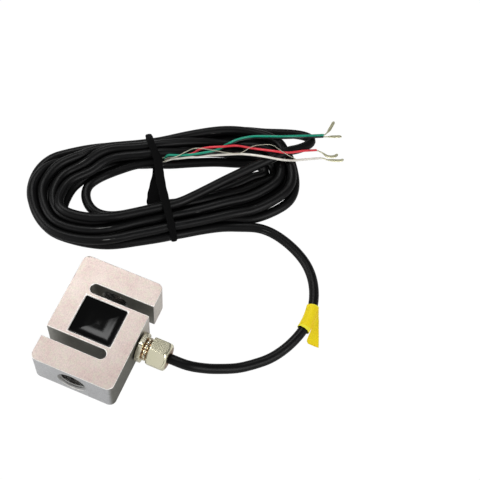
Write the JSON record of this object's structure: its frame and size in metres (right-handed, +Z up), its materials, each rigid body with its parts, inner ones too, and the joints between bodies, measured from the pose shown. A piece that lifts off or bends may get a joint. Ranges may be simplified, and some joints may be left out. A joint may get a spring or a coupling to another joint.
{
  "type": "s-type load cell",
  "caption": "S-shaped steel load cell with potted gauge pockets, tapped arms, a side cable gland and its cable tied in a hank with bare core ends.",
  "frame": {"origin": "centre of the block's underside, on the surface that it lies on", "axes": "+X across the block's width towards the cable gland, +Y along the load axis, +Z up through the block's thickness"},
  "size_m": [0.2055, 0.2368, 0.0254],
  "materials": {
    "steel": "machined and nickel plated, fine satin grain",
    "plated": "nickel-plated brass, satin",
    "potting": "glossy black poured resin",
    "rubber": "moulded rubber, matte",
    "cable": "black cable jacket, soft sheen",
    "tie": "black plastic-coated tie, matte",
    "label": "yellow film label, bare",
    "core_red": "red core insulation",
    "core_green": "green core insulation",
    "core_black": "black core insulation",
    "core_white": "white core insulation",
    "tinned": "tinned copper strands",
    "foil": "foil gauge on polyimide backing",
    "board": "glass-epoxy wiring board",
    "resistor": "chip resistor",
    "enamel": "enamelled copper lead"
  },
  "bodies": {
    "root": {"s_beam_body": "steel", "potting_top": "potting", "potting_bottom": "potting", "strain_gauge_top": "foil", "strain_gauge_bottom": "foil", "bridge_board": "board", "trim_resistor_left": "resistor", "trim_resistor_right": "resistor", "gland_o_ring": "rubber", "gland_body": "plated", "gland_seal": "rubber", "gland_claw": "rubber", "gland_nut": "plated", "cable_lead": "cable", "cable_hank": "cable", "hank_tie": "tie", "cable_label": "label", "drain_wire": "tinned", "gauge_lead_top_1": "enamel", "gauge_lead_bottom_1": "enamel", "gauge_lead_top_2": "enamel", "gauge_lead_bottom_2": "enamel", "gauge_lead_top_3": "enamel", "gauge_lead_bottom_3": "enamel", "core_tail_red": "core_red", "core_red": "core_red", "conductor_red": "tinned", "core_tail_green": "core_green", "core_green": "core_green", "conductor_green": "tinned", "core_tail_black": "core_black", "core_black": "core_black", "conductor_black": "tinned", "core_tail_white": "core_white", "core_white": "core_white", "conductor_white": "tinned"}
  },
  "joints": []
}
